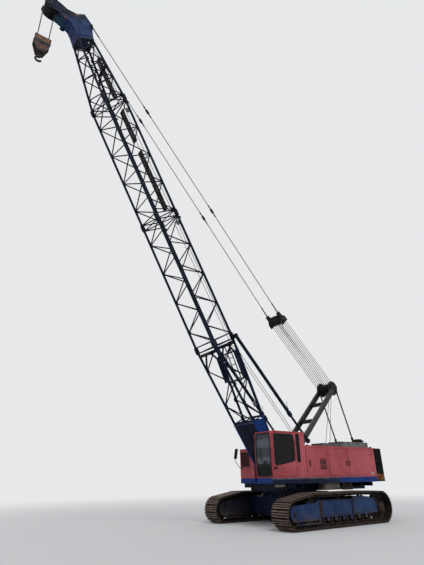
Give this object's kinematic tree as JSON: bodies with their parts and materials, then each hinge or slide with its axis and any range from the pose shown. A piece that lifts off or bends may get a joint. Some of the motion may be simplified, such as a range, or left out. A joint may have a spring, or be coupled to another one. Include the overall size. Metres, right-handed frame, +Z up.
{
  "type": "crawler crane",
  "caption": "Tracked crane with a lattice boom on pendant stays, a gantry with boom hoist, a slewing house with a cab, and a hook block.",
  "frame": {"origin": "slewing axis at ground level", "axes": "+Z up along the slewing axis, +X towards the boom, +Y to the left, the cab's side"},
  "size_m": [18.1256, 5.1, 22.2067],
  "materials": {
    "track_shoes": "worn steel with dried soil",
    "undercarriage_blue": "faded dusty blue paint",
    "carbody_blue": "dark blue paint, dusty",
    "roller_steel": "oily and soiled",
    "deck_blue": "faded blue paint",
    "house_red": "faded pink-red paint with streaks",
    "glass_dark": "tinted",
    "cab_trim": "black",
    "grille_red": "dark red",
    "engine_grey": "painted casting",
    "box_beige": "faded beige paint",
    "plate_red": "dull red paint",
    "box_grey": "faded grey paint",
    "exhaust_dark": "sooty steel",
    "ballast_green": "dark green-black paint",
    "gantry_grey": "weathered grey paint",
    "sheave_dark": "greasy",
    "boom_navy": "dark navy paint",
    "boom_blue": "blue paint",
    "grating": "dark grating",
    "rope": "greased wire rope",
    "hook_orange": "black with faded orange bands",
    "hook_steel": "forged"
  },
  "bodies": {
    "undercarriage": {"carbody": "carbody_blue", "track_frame_left": "undercarriage_blue", "track_frame_right": "undercarriage_blue", "track_left": "track_shoes", "track_right": "track_shoes", "idlers": "roller_steel", "sprockets": "roller_steel", "track_rollers": "roller_steel", "slew_ring_lower": "roller_steel"},
    "upperworks": {"slew_ring_upper": "roller_steel", "deck": "deck_blue", "tool_box": "box_beige", "lashing_plates": "plate_red", "cab_shell": "house_red", "cab_windows": "glass_dark", "cab_interior": "cab_trim", "left_house": "house_red", "right_house": "house_red", "radiator_grille": "grille_red", "engine_block": "engine_grey", "roof_box": "box_grey", "exhaust": "exhaust_dark", "counterweight": "ballast_green", "winch_drums": "sheave_dark", "gantry_legs": "gantry_grey", "gantry_links": "gantry_grey", "gantry_sheaves": "sheave_dark", "mirror": "cab_trim", "luff_falls": "rope"},
    "cab_door": {"cab_door": "house_red", "cab_door_window": "glass_dark"},
    "house_door_front": {"house_door_front": "house_red"},
    "house_door_middle": {"house_door_middle": "house_red"},
    "house_door_rear": {"house_door_rear": "house_red"},
    "engine_door_front": {"engine_door_front": "house_red"},
    "engine_door_rear": {"engine_door_rear": "house_red"},
    "boom": {"boom_foot": "boom_blue", "boom_insert_lower": "boom_navy", "boom_insert_upper": "boom_navy", "boom_top": "boom_navy", "boom_head": "boom_blue", "boom_sheaves": "sheave_dark", "boom_walkway": "grating", "stays": "rope", "bridle": "sheave_dark"},
    "backstop_rods": {"backstop_rods": "boom_navy"},
    "backstop_tubes": {"backstop_tubes": "boom_navy"},
    "hook_rope": {"hoist_falls": "rope"},
    "hook_block": {"hook_block": "hook_orange", "hook": "hook_steel"}
  },
  "joints": [
    {"name": "slew", "type": "hinge", "parent": "undercarriage", "child": "upperworks", "pos_m": [0, 0, 1.3], "axis": [0, 0, 1], "continuous": true},
    {"name": "boom_luff", "type": "hinge", "parent": "upperworks", "child": "boom", "pos_m": [1.218, 0, 1.823], "axis": [0, -1, 0], "range_deg": [-31, 19], "deforming": ["luff_falls"]},
    {"name": "backstop_turn", "type": "hinge", "parent": "upperworks", "child": "backstop_rods", "pos_m": [-0.25, 0, 3.15], "axis": [0, -1, 0], "range_deg": [-32, 20]},
    {"name": "backstop_slide", "type": "slide", "parent": "backstop_rods", "child": "backstop_tubes", "axis": [0.6748, 0, 0.738], "range_m": [-0.8, 1.2]},
    {"name": "hook_plumb", "type": "hinge", "parent": "boom", "child": "hook_rope", "pos_m": [13.20559, 0, 21.72685], "axis": [0, -1, 0], "range_deg": [-20, 32]},
    {"name": "hook_hoist", "type": "slide", "parent": "hook_rope", "child": "hook_block", "axis": [0, 0, -1], "range_m": [-0.6, 16.5], "deforming": ["hoist_falls"]},
    {"name": "cab_door_swing", "type": "hinge", "parent": "upperworks", "child": "cab_door", "pos_m": [1.433, 1.674, 2.5], "axis": [0, 0, 1], "range_deg": [0, 100]},
    {"name": "house_door_front_swing", "type": "hinge", "parent": "upperworks", "child": "house_door_front", "pos_m": [-0.427, 1.674, 2.3], "axis": [0, 0, 1], "range_deg": [0, 85]},
    {"name": "house_door_middle_swing", "type": "hinge", "parent": "upperworks", "child": "house_door_middle", "pos_m": [-0.453, 1.674, 2.3], "axis": [0, 0, -1], "range_deg": [0, 85]},
    {"name": "house_door_rear_swing", "type": "hinge", "parent": "upperworks", "child": "house_door_rear", "pos_m": [-3.337, 1.674, 2.3], "axis": [0, 0, 1], "range_deg": [0, 100]},
    {"name": "engine_door_front_swing", "type": "hinge", "parent": "upperworks", "child": "engine_door_front", "pos_m": [-0.153, -1.674, 2.3], "axis": [0, 0, 1], "range_deg": [0, 100]},
    {"name": "engine_door_rear_swing", "type": "hinge", "parent": "upperworks", "child": "engine_door_rear", "pos_m": [-3.337, -1.674, 2.3], "axis": [0, 0, -1], "range_deg": [0, 100]}
  ],
  "couplings": [
    {"joint": "backstop_turn", "follows": "boom_luff", "ratio": 0.97},
    {"joint": "backstop_slide", "follows": "boom_luff", "m_per_rad": -1.92},
    {"joint": "hook_plumb", "follows": "boom_luff", "ratio": -1}
  ]
}
